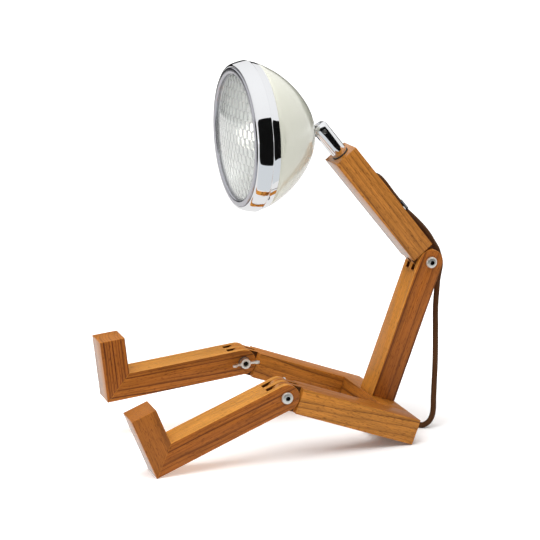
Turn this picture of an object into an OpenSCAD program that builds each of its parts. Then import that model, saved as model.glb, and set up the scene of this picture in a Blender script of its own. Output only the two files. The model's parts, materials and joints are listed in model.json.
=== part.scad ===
// Desk lamp shaped like a sitting robot: wooden limbs with bolted finger
// joints and an enamelled headlamp head on a chrome neck. Millimetres.
// The lamp faces -Y, its left side is +X and it sits on the plane z = 0.

/* [Wood] */
// Width of every limb
limb_w = 31.6; // [29:0.1:34]
// Thickness of every limb
limb_d = 25.4; // [24:0.1:27]
// Width over both thighs
hip_w = 161; // [150:1:180]
// Front to back depth of the cross block
block_d = 31; // [29:1:40]
// Back face of the thigh to the knee bolt
thigh_l = 142; // [130:1:160]
// Knee bolt to the sole
shin_l = 143.5; // [130:0.5:150]
// Heel to toe height of a foot
foot_h = 62.1; // [50:0.1:75]
// Seat to the waist bolt
torso_low_l = 144.5; // [135:0.5:155]
// Waist bolt to the top end of the body
torso_up_l = 144; // [138:1:150]
// How far the body stands in from the back face of the cross block
back_set = 1.2; // [0:0.2:3]

/* [Pose] */
// Tilt of the seat and thighs
seat_tilt = 21.2; // [15:0.1:25]
// Forward lean of the upper body
lean = 38; // [30:0.5:45]
// Drop of the right shin, whose foot is in the air
right_drop = 5.1; // [0:0.1:15]

/* [Joints] */
// Free space past the round end of a finger
finger_end_gap = 1; // [0.5:0.5:2]
// Side clearance of a finger in its slot
finger_side_gap = 0.15; // [0.05:0.05:0.3]
// Shank diameter of the joint bolts
bolt_d = 6; // [5:0.5:7]
// Head diameter of the joint bolts
bolt_head_d = 11.6; // [9.5:0.1:12.5]
// Head height of the joint bolts
bolt_head_h = 3.3; // [3:0.1:4]
// Size of the hexagon socket, across flats
hex_flats = 4; // [3:0.5:5]
// Diameter of the washers
washer_d = 12; // [11:0.5:14]
// Thickness of the washers
washer_t = 1.6; // [1:0.2:2]
// Diameter of a wing nut's hub
wing_hub_d = 11; // [9:0.5:12]
// Height of a wing nut's hub
wing_hub_h = 5.5; // [5:0.5:7]
// Span over both wings
wing_span = 28.5; // [24:0.5:30]
// Diameter of the glued dowels
dowel_d = 8; // [6:1:8]

/* [Neck] */
// Diameter of the chrome neck
neck_d = 16; // [15:0.5:18]
// Height of the neck above its washer
neck_l = 37; // [36:0.5:40]
// End of the body to the tilting pin
knuckle_h = 30.7; // [30:0.1:32]
// Thickness of the tongue in the fork of the neck
tongue_t = 5; // [4:0.5:5.5]
// Height of the tongue
tongue_h = 11; // [10:0.5:11]
// Tilting pin to the crown of the shell
crown_gap = 10.6; // [10:0.1:12]
// Diameter of the threaded nipple in the body
nipple_d = 10; // [9:0.5:11]

/* [Head] */
// Front of the lip to the crown of the shell
head_l = 78.5; // [78:0.5:80]
// Radius of the round nose of the shell
nose_r = 59.2; // [58:0.2:60]
// Radius of the flank of the shell
flank_r = 97; // [94:1:100]
// Angle at which the nose meets the flank
nose_angle = 32.6; // [31:0.2:34]
// Wall of the shell
shell_t = 1; // [0.8:0.1:1.5]
// Depth of the chrome bezel
bezel_l = 23.1; // [22.5:0.1:24]
// Radius of the bezel at its crease
crease_r = 72.3; // [72:0.1:74]
// Depth at which the crease lies
crease_l = 15; // [14:0.5:16]
// Radius of the visible glass
glass_r = 60.3; // [59.5:0.1:60.5]
// Rise of the glass from its rim to its centre
glass_rise = 6.5; // [5:0.5:8]
// Width of one flute of the prismatic glass
flute_w = 9; // [8:0.5:12]
// Height of one row of flutes
flute_row = 8.2; // [7.5:0.1:10]

/* [Cord] */
// Diameter of the textile cord
cord_d = 5.6; // [5:0.1:6]
// Radius of the coil at the middle of its turns
coil_r = 32; // [31:0.5:33]

/* [Hidden] */
$fn = 64;

// Clearance of a round fit on the radius, and of a slack hole on the diameter
fit = 0.05;
slack = 0.6;
// How far one solid of a union reaches into the next
lap = 1;

// Finger joints: five plies across each limb
plies = 5;
ply = limb_w / plies;
end_r = limb_d / 2;
dowel_l = dowel_d * 4;
hip_dowel_x = ply + 1;
shoulder = end_r + finger_end_gap;
knee_x = (hip_w - limb_w) / 2;

// Drop of the left shin that puts its heel on the ground
knee_z = thigh_l * sin(seat_tilt) + end_r * cos(seat_tilt);
left_drop = asin(knee_z / norm([shin_l, end_r])) - atan(end_r / shin_l);

// Places of the joints, measured from the lower back edge of the seat
knee_from_seat = end_r * sin(seat_tilt) - thigh_l * cos(seat_tilt);
body_p = back_set + end_r;
body_q = limb_d + torso_low_l;
waist_from_seat = body_q * sin(seat_tilt) - body_p * cos(seat_tilt);
waist_z = body_p * sin(seat_tilt) + body_q * cos(seat_tilt);

// The origin lies under the middle of the lamp's length
toe_reach = shin_l * cos(left_drop) + (foot_h - end_r) * sin(left_drop);
seat_y = -(waist_from_seat + end_r + knee_from_seat - toe_reach) / 2;

// Neck: bore for the wires, fork for the tongue
washer_neck_t = 1;
neck_round = 4;
wire_bore_d = 7;
nipple_depth = 25;
nipple_up = 8;
fork_floor = 24.2;
fork_back = 6;
fork_gap = 0.3;
pin_d = 4;
pin_inset = 0.5;

// Head: sizes behind the lip, which is the plane depth 0 of the head
lip_at = crown_gap + head_l;
lip_r = 66.1;
ring_flange_r = 67.3;
ring_flange_at = 2.7;
glass_seat = 3;
glass_edge_r = 63;
glass_edge_t = 3.2;
gasket_t = 2;
flange_t = 1.2;
shell_front = glass_seat + glass_edge_t + gasket_t + flange_t;
rim_r = 68.7;
nose_depth = head_l - nose_r;
flank_depth = nose_depth - (flank_r - nose_r) * cos(nose_angle);
flank_off = (flank_r - nose_r) * sin(nose_angle);
crown_flat_r = 7;
stud_d = 8;
stud_l = 7;
nut_flats = 11;
nut_h = 5;
holder_front = 46;
holder_l = 20;
holder_r = 11;
bulb_r = 8;
bulb_l = 32;
dish_r = 59;
dish_throat_r = holder_r + fit;
collar_l = 8;
dish_depth = 36;
dish_t = 0.8;
vent_angles = [30, 150, 270];

// Cord outlet at the back of the upper body
outlet_top = 125;
outlet_low = 104;
outlet_angle = atan(end_r / (outlet_top - outlet_low));
grommet_d = 8.4;
grommet_l = 6;
clip_at = 59;
clip_l = 11;
clip_t = 0.9;
clip_foot = 6.2;
screw_at = cord_d / 2 + clip_t + 3;
screw_shank_r = 1.2;
screw_head_r = 2.4;
screw_l = 10;
screw_head_h = 1.4;
screw_slot = 0.6;
cord_r = cord_d / 2;
cord_out = end_r + cord_r;

// Cord on the upper body: x, distance behind its middle, height above the waist bolt
outlet_route = [
    [0, 12.7, 104], [0, 15.1, 99], [0, 15.9, 92], [0, 15.8, 84], [0, 15.5, 76],
    [0, 15.5, 65], [0, 15.5, 53]
];
back_route = [
    [0, 15.5, 53], [0, 15.5, 51.5], [0, 16.6, 45], [0, 17.7, 36], [-0.5, 18.5, 26], [-1, 18.4, 16],
    [-1.5, 17.5, 8]
];

// Cord below it: x, distance behind the seat's back edge, height above the ground
floor_route = [
    [-3.5, 62.4, 173], [-4.5, 65, 167], [-5, 67.1, 160], [-5, 67.3, 153.5], [-5, 66, 147],
    [-4.5, 64.5, 140], [-4, 63.4, 132], [-2, 61.4, 120], [0, 60, 108], [5, 57.8, 92], [11, 55.1, 76],
    [18, 51.7, 60], [25, 47.7, 44], [31.5, 44, 29], [35.5, 42, 19], [37.5, 39.5, 11.5], [37.8, 35.5, 6],
    [35.5, 30, cord_r], [30, 23, cord_r], [21, 18.4, cord_r], [10, 16.6, cord_r], [-4, 16.4, cord_r],
    [-16, 16.5, 3.4], [-26, 16.5, 5.6], [-32, 16.5, 6.5]
];
lead_route = [
    [-90, 16.5, 6.5], [-96, 16.8, 4.6], [-102, 17.2, 3.1], [-108, 17.6, cord_r], [-115, 18.8, cord_r],
    [-121.5, 19.2, cord_r], [-129, 18.6, cord_r], [-136.5, 16.6, cord_r], [-143.1, 13.4, cord_r],
    [-147.6, 9.3, cord_r], [-151.3, 4.8, cord_r]
];
tail_route = [
    [-157.6, -13.4, 9.4], [-158.4, -19, 10.2], [-156.6, -29, 12], [-151.5, -36.6, 14],
    [-144.2, -41.6, 16.2], [-135.1, -43.4, 18]
];
cord_sides = 8;

// Coil: three turns side by side on two layers, behind the right thigh
coil_at = [-121.5, -24];
coil_turns = 3;
coil_layers = 2;
coil_h = coil_layers * cord_d;
coil_half = coil_turns * cord_d / 2;

// Plug with two pins, lying on the coil
plug_at = [-135.1, -43.4];
plug_t = 13.6;
plug_l = 33;
plug_w = 35.3;
pin_gap = 19;
pin_l = 19;
plug_pin_d = 4;
pin_root = 8;
pin_root_d = 5;

// Rocker switch in the cord, behind the cross block
switch_at = [-61, 16.5];
switch_l = 58;
switch_w = 17;
switch_h = 15;
rocker_l = 16;
rocker_w = 8.6;
rocker_z = 10;
rocker_tilt = 7;
pocket_gap = 1.4;
pocket_floor = 2.5;
trunnion_r = 1.2;
trunnion_l = 11.6;

wood = "#b8692b";
wood_end = "#a45a26";
chrome = "#d9dcdf";
steel = "#c4c7ca";
ivory = "#e9e6d6";
black = "#26231f";
rocker_black = "#3a352f";
textile = "#5a3a22";

// ---- frames ----

// Frame of the seat: x, -distance from the back edge, height over the underside
module seat_frame() translate([0, seat_y, 0]) rotate([-seat_tilt, 0, 0]) children();

// Frame of the upper body: the waist bolt, z along the body, y to its back
module body_frame() translate([0, seat_y + waist_from_seat, waist_z]) rotate([lean, 0, 0]) children();

// Frame of a shin: the knee bolt, -y along the shin, x in its middle
module shin_frame(side, drop)
    translate([side * knee_x, seat_y + knee_from_seat, knee_z]) rotate([drop, 0, 0]) children();

module left_shin_frame() shin_frame(1, left_drop) children();
module right_shin_frame() shin_frame(-1, right_drop) children();

// Frame of the waist bolt on the lower body
module waist_frame() seat_frame() translate([0, -body_p, body_q]) children();

// Frame of the neck: the top end of the body, z along the neck
module neck_frame() body_frame() translate([0, 0, torso_up_l]) children();

// Frame of the head: the tilting pin, z straight ahead, y up
module head_frame() neck_frame() translate([0, 0, knuckle_h]) rotate([90 - lean, 0, 0]) children();

// Turned part of the head from an outline of [radius, depth behind the lip]
module head_turned() head_frame() translate([0, 0, lip_at]) mirror([0, 0, 1]) rotate_extrude($fn = 128)
    children();

// ---- shapes that repeat ----

// Cylinder along x between two places
module rod_x(d, from, to) translate([from, 0, 0]) rotate([0, 90, 0]) cylinder(d = d, h = to - from);

// One finger of a limb with its round end on the bolt
module finger(i) {
    low = i * ply + (i > 0 ? finger_side_gap : 0);
    high = (i + 1) * ply - (i < plies - 1 ? finger_side_gap : 0);
    translate([low - limb_w / 2, 0, 0]) rotate([90, 0, 90]) linear_extrude(high - low) {
        circle(r = end_r);
        translate([-end_r, 0]) square([limb_d, shoulder + lap]);
    }
}

// Limb along +z from its bolt, with its fingers on the plies given
module limb(l, fingers) difference() {
    union() {
        translate([-limb_w / 2, -end_r, shoulder]) cube([limb_w, limb_d, l - shoulder]);
        for (i = fingers) finger(i);
    }
    rod_x(bolt_d + 2 * fit, -limb_w, limb_w);
}

outer_fingers = [0, 2, 4];
inner_fingers = [1, 3];

// Side outline of a shin's foot: [along -y, z] of the sole, the toe and the mitre
module foot_outline() polygon([
    [shin_l, -end_r], [shin_l, foot_h - end_r], [shin_l - limb_d, foot_h - end_r],
    [shin_l - limb_d, end_r]
]);

// Side outline drawn in [along -y, z], as wide as a limb
module across(w) rotate([90, 0, -90]) translate([0, 0, -w / 2]) linear_extrude(w) children();

// Dowel through the middle of the mitre
module mitre_dowel(d) translate([0, end_r - shin_l, 0]) rotate([-135, 0, 0])
    cylinder(d = d, h = dowel_d * 2.5, center = true);

module shin() difference() {
    rotate([90, 0, 0]) limb(shin_l, outer_fingers);
    across(limb_w + 2 * lap) polygon([
        [shin_l, -end_r], [shin_l - limb_d, end_r], [shin_l - limb_d, end_r + lap],
        [shin_l + lap, end_r + lap], [shin_l + lap, -end_r]
    ]);
    mitre_dowel(dowel_d + 2 * fit);
}

module foot() difference() {
    across(limb_w) foot_outline();
    mitre_dowel(dowel_d + 2 * fit);
}

// Thigh with the dowel hole towards the cross block at its inner side
module thigh(side) seat_frame() difference() {
    translate([side * knee_x, -thigh_l, end_r]) rotate([-90, 0, 0]) limb(thigh_l, inner_fingers);
    pelvis_dowel(side, dowel_d + 2 * fit);
}

// Dowel between a thigh and the cross block
module pelvis_dowel(side, d) translate([side * (hip_w / 2 - limb_w), -block_d / 2, end_r])
    rotate([0, 90, 0]) cylinder(d = d, h = dowel_l, center = true);

// Dowel between the cross block and the body
module hip_dowel(side, d) translate([side * hip_dowel_x, -body_p, limb_d])
    cylinder(d = d, h = dowel_l, center = true);

// Button head bolt along x, its head outside the limb at +x
bolt_tip = 0.5;
bolt_recess = 1.2;
bolt_end = limb_w / 2 + washer_t + wing_hub_h - bolt_recess;
socket_depth = 2.2;
head_edge = 0.8;
head_flat_r = hex_flats * 0.7;
head_drop = bolt_head_h - head_edge;
head_run = bolt_head_d / 2 - head_flat_r;

// Points of an arc, ends included
function arc_points(c, r, a0, a1, n) =
    [for (i = [0:n]) let (a = a0 + (a1 - a0) * i / n) c + r * [cos(a), sin(a)]];

module bolt() rotate([0, 90, 0]) difference() {
    union() {
        translate([0, 0, bolt_tip - bolt_end]) cylinder(d = bolt_d, h = bolt_end + limb_w / 2);
        translate([0, 0, -bolt_end]) cylinder(d = bolt_d - 2 * bolt_tip, h = bolt_end);
        translate([0, 0, limb_w / 2]) rotate_extrude() button_head();
    }
    translate([0, 0, limb_w / 2 + bolt_head_h - socket_depth])
        cylinder(d = hex_flats / cos(30), h = socket_depth + lap, $fn = 6);
}

// Half outline of a button head with its domed shoulder
module button_head() {
    square([bolt_head_d / 2, head_edge]);
    square([head_flat_r, bolt_head_h]);
    shoulder_arc = [for (p = arc_points([0, 0], 1, 0, 90, 6)) [p.x * head_run, p.y * head_drop]];
    translate([head_flat_r, head_edge]) polygon(concat([[0, 0]], shoulder_arc));
}

module washer() difference() {
    rod_x(washer_d, -limb_w / 2 - washer_t, -limb_w / 2);
    rod_x(bolt_d + 2 * fit, -limb_w, 0);
}

// Wing nut on the bolt, its wings turned by the angle given
module wingnut(turn) translate([-limb_w / 2 - washer_t, 0, 0]) rotate([0, -90, 0]) rotate([0, 0, turn])
    difference() {
        union() {
            cylinder(d1 = wing_hub_d, d2 = wing_hub_d - 1, h = wing_hub_h);
            for (s = [0, 180]) rotate([0, 0, s]) wing();
        }
        translate([0, 0, -lap]) cylinder(d = bolt_d + 2 * fit, h = wing_hub_h + 2 * lap);
    }

// One wing: a flat ear that rises outwards
wing_t = 2;
wing_tip_r = 2.6;
module wing() translate([0, wing_t / 2, 0]) rotate([90, 0, 0]) linear_extrude(wing_t) {
    polygon([
        [bolt_d / 2 + 1, 0.6], [wing_hub_d / 2 + 1.5, 0.8], [wing_span / 2 - wing_tip_r, 2.9],
        [wing_span / 2 - wing_tip_r, 8.1], [wing_hub_d / 2 + 2.5, 5.4], [bolt_d / 2 + 1, 4.8]
    ]);
    translate([wing_span / 2 - wing_tip_r, 5.5]) circle(r = wing_tip_r);
}

// ---- wooden body ----

module pelvis_block() color(wood) seat_frame() difference() {
    translate([limb_w - hip_w / 2, -block_d, 0]) cube([hip_w - 2 * limb_w, block_d, limb_d]);
    for (side = [-1, 1]) {
        pelvis_dowel(side, dowel_d + 2 * fit);
        hip_dowel(side, dowel_d + 2 * fit);
    }
}

module torso_lower() color(wood) difference() {
    waist_frame() rotate([180, 0, 0]) limb(torso_low_l, outer_fingers);
    seat_frame() for (side = [-1, 1]) hip_dowel(side, dowel_d + 2 * fit);
}

module torso_upper() color(wood) body_frame() difference() {
    limb(torso_up_l, inner_fingers);
    translate([0, 0, torso_up_l - nipple_depth]) cylinder(d = nipple_d + 2 * fit, h = nipple_depth + lap);
    outlet_bore(cord_d + slack, -lap, end_r * 3);
    outlet_bore(grommet_d + 2 * fit, -end_r, grommet_l);
    for (side = [-1, 1]) clip_screw_shank(side, fit);
}

// Sloping bore from the back face up into the nipple's bore
module outlet_bore(d, from, to) translate([0, end_r, outlet_low]) rotate([outlet_angle, 0, 0])
    translate([0, 0, from]) cylinder(d = d, h = to - from);

module clip_screw_shank(side, play) translate([side * screw_at, end_r + clip_t + play, clip_at])
    rotate([90, 0, 0]) cylinder(r = screw_shank_r + play, h = screw_l + 2 * play);

// ---- neck ----

module neck_washer() color(black) neck_frame() difference() {
    cylinder(d = neck_d + 1, h = washer_neck_t);
    translate([0, 0, -lap]) cylinder(d = nipple_d + 2 * fit, h = washer_neck_t + 2 * lap);
}

module neck_tube() color(chrome) neck_frame() difference() {
    translate([0, 0, washer_neck_t]) rotate_extrude() {
        square([neck_d / 2, neck_l - neck_round]);
        square([neck_d / 2 - neck_round, neck_l]);
        translate([neck_d / 2 - neck_round, neck_l - neck_round]) intersection() {
            circle(r = neck_round);
            square(neck_round);
        }
    }
    translate([0, 0, -lap]) cylinder(d = wire_bore_d, h = fork_floor + 2 * lap);
    translate([0, 0, -lap]) cylinder(d = nipple_d + 2 * fit, h = nipple_up + lap);
    translate([-tongue_t / 2 - fork_gap, -neck_d, fork_floor])
        cube([tongue_t + 2 * fork_gap, neck_d + fork_back, neck_l]);
    translate([0, 0, knuckle_h]) rod_x(pin_d + 2 * fit, -neck_d, neck_d);
}

module neck_nipple() color(steel) neck_frame() difference() {
    translate([0, 0, lap - nipple_depth]) cylinder(d = nipple_d, h = nipple_depth + nipple_up - lap);
    translate([0, 0, -nipple_depth]) cylinder(d = wire_bore_d, h = nipple_depth + nipple_up + lap);
}

module knuckle_pin() color(steel) neck_frame() translate([0, 0, knuckle_h])
    rod_x(pin_d, pin_inset - neck_d / 2, neck_d / 2 - pin_inset);

// ---- head ----

module tongue() color(steel) head_frame() difference() {
    union() {
        rod_x(tongue_h, -tongue_t / 2, tongue_t / 2);
        translate([-tongue_t / 2, -tongue_h / 2, 0]) cube([tongue_t, tongue_h, crown_gap - lap / 2]);
        translate([0, 0, crown_gap - lap]) cylinder(r = crown_flat_r - 0.5, h = lap);
        translate([0, 0, crown_gap - lap]) cylinder(d = stud_d, h = lap + shell_t + stud_l);
    }
    rod_x(pin_d + 2 * fit, -neck_d, neck_d);
}

module tongue_nut() color(steel) head_frame() translate([0, 0, crown_gap + shell_t]) difference() {
    cylinder(d = nut_flats / cos(30), h = nut_h, $fn = 6);
    translate([0, 0, -lap]) cylinder(d = stud_d + 2 * fit, h = nut_h + 2 * lap);
}

// Half outline of the dome, [radius, depth], drawn in by the amount given
function dome_points(inset) = concat(
    [[rim_r - inset, bezel_l]],
    turned_arc([flank_depth, -flank_off], flank_r - inset, asin((rim_r + flank_off) / flank_r), nose_angle),
    turned_arc([nose_depth, 0], nose_r - inset, nose_angle, asin(crown_flat_r / nose_r)),
    [[crown_flat_r * (1 - inset / nose_r), head_l - inset], [0, head_l - inset]]
);
function turned_arc(c, r, a0, a1) = [for (p = arc_points(c, r, a0, a1, 12)) [p.y, p.x]];

module shell() color(ivory) difference() {
    head_turned() difference() {
        polygon(concat([[0, shell_front], [rim_r, shell_front]], dome_points(0)));
        polygon(concat([[0, shell_front - lap], [rim_r - shell_t, shell_front - lap]], dome_points(shell_t)));
        square([stud_d / 2 + fit, head_l + lap]);
    }
    head_frame() for (a = vent_angles) rotate([0, 0, a]) vent_slot();
}

// Short radial slot through the back of the shell
module vent_slot() translate([21, -1.5, crown_gap]) cube([11, 3, 14]);

module bezel() color(chrome) head_turned() polygon([
    [66.6, 1.4], [68.1, 1.7], [69.1, 2.6], [70.1, 5], [71.2, 8.5], [crease_r - 0.2, crease_l - 2.2],
    [crease_r, crease_l], [crease_r - 0.6, crease_l + 0.6], [crease_r - 1.1, crease_l + 3],
    [rim_r + 1.1, bezel_l], [rim_r, bezel_l], [rim_r, bezel_l - 1.5], [crease_r - 2.1, crease_l + 2.8],
    [crease_r - 1.4, crease_l + 0.6], [crease_r - 1.3, crease_l], [crease_r - 1.3, crease_l - 2.2], [70.2, 9],
    [69, 5.6], [68.2, 3.6], [67.6, ring_flange_at], [66.6, ring_flange_at]
]);

module lens_ring() color(chrome) head_turned() polygon([
    [glass_r, glass_seat], [glass_r, 1.2], [glass_r + 0.7, 0.3], [glass_r + 1.8, 0],
    [lip_r - 0.9, 0], [lip_r, 0.8],
    [lip_r, ring_flange_at], [ring_flange_r, ring_flange_at], [ring_flange_r, ring_flange_at + 1.5],
    [glass_edge_r + 0.3, ring_flange_at + 1.5], [glass_edge_r + 0.3, glass_seat]
]);

// Radius of the domed glass, its wall and its flutes
dome_r = (glass_r * glass_r + glass_rise * glass_rise) / (2 * glass_rise);
dome_top = glass_seat - glass_rise;
glass_t = 2.6;
flute_h = 1.6;
flute_root = 0.8;
flute_limit = glass_r - 2;
row_count = 2 * floor(flute_limit / flute_row) - 1;
flute_count = 2 * ceil(flute_limit / flute_w) + 1;

// Depth of the back of the glass at a radius
function glass_back(r) = dome_top + glass_t + dome_r - sqrt(dome_r * dome_r - r * r);

glass_back_edge = glass_seat + glass_edge_t;
plain_r = glass_r - 4;

// Domed glass with staggered rows of upright flutes on its back
module lens() color("white", 0.5) {
    head_turned() difference() {
        polygon(concat(
            [[0, dome_top]],
            arc_points([0, dome_top + dome_r], dome_r, -88, asin(glass_r / dome_r) - 90, 8),
            [[glass_edge_r, glass_seat], [glass_edge_r, glass_back_edge], [0, glass_back_edge]]
        ));
        polygon(concat(
            [for (r = [0:8:plain_r]) [r, glass_back(r)]],
            [[flute_limit, glass_back(plain_r)], [flute_limit, glass_back_edge + lap]],
            [[0, glass_back_edge + lap]]
        ));
    }
    head_frame() for (j = [0:row_count - 1], i = [0:flute_count - 1]) let (
        y = (j - (row_count - 1) / 2) * flute_row,
        x = (i - (flute_count - 1) / 2 + (j % 2) / 2) * flute_w
    ) if (norm([abs(x) + flute_w / 2, abs(y) + flute_row / 2]) < flute_limit) flute(x, y);
}

// One upright flute of the glass, one row high
module flute(x, y) {
    inner = norm([max(abs(x) - flute_w / 2, 0), max(abs(y) - flute_row / 2, 0)]);
    back = glass_back(norm([x, y]));
    rise = back - glass_back(inner) + flute_root;
    bulge = [for (a = [180:30:360]) [cos(a) * flute_w / 2, sin(a) * flute_h]];
    translate([x, y + flute_row / 2, lip_at - back]) rotate([90, 0, 0]) linear_extrude(flute_row)
        polygon(concat([[flute_w / 2, rise], [-flute_w / 2, rise]], bulge));
}

module gasket() color(black) head_turned() translate([glass_r - 0.5, glass_back_edge]) square([4, gasket_t]);

// Depth of the reflector's face at a radius
function dish(r) = shell_front - flange_t + dish_depth * (1 - pow(r / dish_r, 2));
dish_steps = 10;
dish_run = (dish_r - dish_throat_r) / dish_steps;
dish_face = [for (i = [0:dish_steps]) let (r = dish_throat_r + dish_run * i) [r, dish(r)]];

module reflector() color(chrome) head_turned() {
    polygon(concat(dish_face, [for (i = [dish_steps:-1:0]) dish_face[i] + [dish_t / 4, dish_t]]));
    translate([dish_r - dish_t / 4, shell_front - flange_t]) square([rim_r - 0.3 - dish_r, flange_t]);
    translate(dish_face[0]) square([dish_t, collar_l]);
}

module lampholder() color("white") head_turned() difference() {
    translate([0, holder_front]) square([holder_r, holder_l]);
    translate([0, holder_front - lap]) square([bulb_r + fit, 8 + lap]);
}

module bulb() color("ivory", 0.8) head_turned() {
    translate([0, holder_front - bulb_l + bulb_r]) square([bulb_r, bulb_l - bulb_r + 7.9]);
    translate([0, holder_front - bulb_l + bulb_r]) intersection() {
        circle(r = bulb_r);
        translate([0, -bulb_r]) square([bulb_r, bulb_r]);
    }
}

// ---- cord ----

module cord_grommet() color(black) body_frame() intersection() {
    difference() {
        outlet_bore(grommet_d, -end_r, grommet_l);
        outlet_bore(cord_d + 2 * fit, -end_r * 1.1, grommet_l + lap);
    }
    translate([-limb_w / 2, 0, 0]) cube([limb_w, end_r, torso_up_l]);
}

module cord_clip() color(steel) body_frame() difference() {
    translate([0, 0, clip_at - clip_l / 2]) linear_extrude(clip_l) difference() {
        union() {
            translate([0, cord_out]) circle(r = cord_r + clip_t);
            translate([-cord_r - clip_t, end_r]) square([cord_d + 2 * clip_t, cord_r]);
            translate([-cord_r - clip_foot, end_r]) square([cord_d + 2 * clip_foot, clip_t]);
        }
        translate([0, cord_out]) circle(r = cord_r + fit);
        translate([-cord_r - fit, end_r - lap]) square([cord_d + 2 * fit, cord_r + lap]);
        translate([-limb_w / 2, 0]) square([limb_w, end_r]);
    }
    for (side = [-1, 1]) clip_screw_shank(side, fit);
}

module clip_screw(side) color(steel) body_frame() {
    clip_screw_shank(side, 0);
    translate([side * screw_at, end_r + clip_t + screw_head_h, clip_at]) rotate([90, 0, 0]) difference() {
        cylinder(r1 = screw_head_r * 0.7, r2 = screw_head_r, h = screw_head_h);
        translate([-screw_head_r, -screw_slot / 2, -lap]) cube([2 * screw_head_r, screw_slot, 1.7 * lap]);
    }
}

// Point of the upper body in the lamp's frame, and of the seat's back edge
function from_body(p) = [
    p.x,
    seat_y + waist_from_seat + p.y * cos(lean) - p.z * sin(lean),
    waist_z + p.y * sin(lean) + p.z * cos(lean)
];
function from_seat(p) = [p.x, seat_y + p.y, p.z];
function unit(v) = v / norm(v);

// Direction of a route at one of its points
function heading(path, i) = unit(path[min(i + 1, len(path) - 1)] - path[max(i - 1, 0)]);

// Ring of points around a route, square to its heading
function ring(c, t, side, r) = let (n = unit(cross(t, side)), b = cross(t, n))
    [for (j = [0:cord_sides - 1]) c + r * (cos(j * 360 / cord_sides) * n + sin(j * 360 / cord_sides) * b)];

// Round tube along a route; side is a direction that the route never takes
module tube(path, side) {
    last = len(path) - 1;
    polyhedron(
        points = [for (i = [0:last]) each ring(path[i], heading(path, i), side, cord_r)],
        faces = concat(
            [[for (j = [0:cord_sides - 1]) j]],
            [[for (j = [cord_sides - 1:-1:0]) last * cord_sides + j]],
            [for (i = [0:last - 1], j = [0:cord_sides - 1]) let (k = (j + 1) % cord_sides)
                [i * cord_sides + j, (i + 1) * cord_sides + j, (i + 1) * cord_sides + k, i * cord_sides + k]]
        )
    );
}

module cord_upper() color(textile) tube([for (p = outlet_route) from_body(p)], [1, -1, 0]);

// The cord hangs from the clip to the ground and runs to the switch
module cord_lower() color(textile)
    tube(concat([for (p = back_route) from_body(p)], [for (p = floor_route) from_seat(p)]), [1, -1, 0]);

// Stretch between the switch and the coil
module cord_lead() color(textile) tube([for (p = lead_route) from_seat(p)], [0, 0, 1]);

module cord_tail() color(textile) tube([for (p = tail_route) from_seat(p)], [0, 0, 1]);

module cord_coil() color(textile) translate([coil_at.x, seat_y + coil_at.y, 0]) rotate_extrude()
    translate([coil_r - coil_half, 0]) square([2 * coil_half, coil_h]);

// Frame of the plug: the middle of its back end, x towards the pins
module plug_frame() translate([plug_at.x, seat_y + plug_at.y, coil_h]) children();

module plug_body() color(black) plug_frame() difference() {
    linear_extrude(plug_t) polygon([
        [0, -5], [4, -6.5], [14, -13], [20, -plug_w / 2], [plug_l - 1, -plug_w / 2],
        [plug_l, -plug_w / 2 + 1], [plug_l, plug_w / 2 - 1], [plug_l - 1, plug_w / 2],
        [20, plug_w / 2], [14, 13], [4, 6.5], [0, 5]
    ]);
    for (s = [-1, 1]) plug_pin(s, fit);
    plug_bridge(fit);
}

// Pin with a thicker root inside the plug
module plug_pin(s, play) translate([plug_l - pin_root, s * pin_gap / 2, plug_t / 2]) rotate([0, 90, 0]) {
    cylinder(d = pin_root_d + 2 * play, h = pin_root);
    cylinder(d = plug_pin_d + 2 * play, h = pin_root + pin_l);
}

// Bar inside the plug that ties the roots of its pins
module plug_bridge(play) translate([plug_l - pin_root, 0, plug_t / 2])
    cube([2 + 2 * play, pin_gap + 4 + 2 * play, 2 + 2 * play], center = true);

module plug_pins() color(steel) plug_frame() {
    for (s = [-1, 1]) plug_pin(s, 0);
    plug_bridge(0);
}

// Frame of the switch: under its middle, x along the cord
module switch_frame() translate([switch_at.x, seat_y + switch_at.y, 0]) children();

module switch_body() color(black) switch_frame() difference() {
    rotate([90, 0, 0]) translate([0, 0, -switch_w / 2]) linear_extrude(switch_w) polygon([
        [-switch_l / 2, 1], [-switch_l / 2 + 1, 0], [switch_l / 2 - 1, 0], [switch_l / 2, 1],
        [switch_l / 2, 11], [switch_l / 2 - 10, switch_h], [10 - switch_l / 2, switch_h], [-switch_l / 2, 11]
    ]);
    translate([-rocker_l / 2 - pocket_gap, -rocker_w / 2 - 2 * fit, pocket_floor])
        cube([rocker_l + 2 * pocket_gap, rocker_w + 4 * fit, switch_h]);
    translate([0, 0, rocker_z]) rotate([90, 0, 0])
        cylinder(r = trunnion_r + fit, h = trunnion_l + 4 * fit, center = true);
}

// Rocker on its trunnions, pressed down at its +x end
module switch_rocker() color(rocker_black) switch_frame() translate([0, 0, rocker_z])
    rotate([90, rocker_tilt, 0]) {
        cylinder(r = trunnion_r, h = trunnion_l, center = true);
        translate([0, 0, -rocker_w / 2]) linear_extrude(rocker_w) polygon([
            [-rocker_l / 2, 2], [-rocker_l / 4, -3.5], [rocker_l / 4, -3.5],
            [rocker_l / 2, 2], [rocker_l / 2, 5.4], [0, 4.6], [-rocker_l / 2, 5.4]
        ]);
    }

// ---- sides ----

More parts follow.
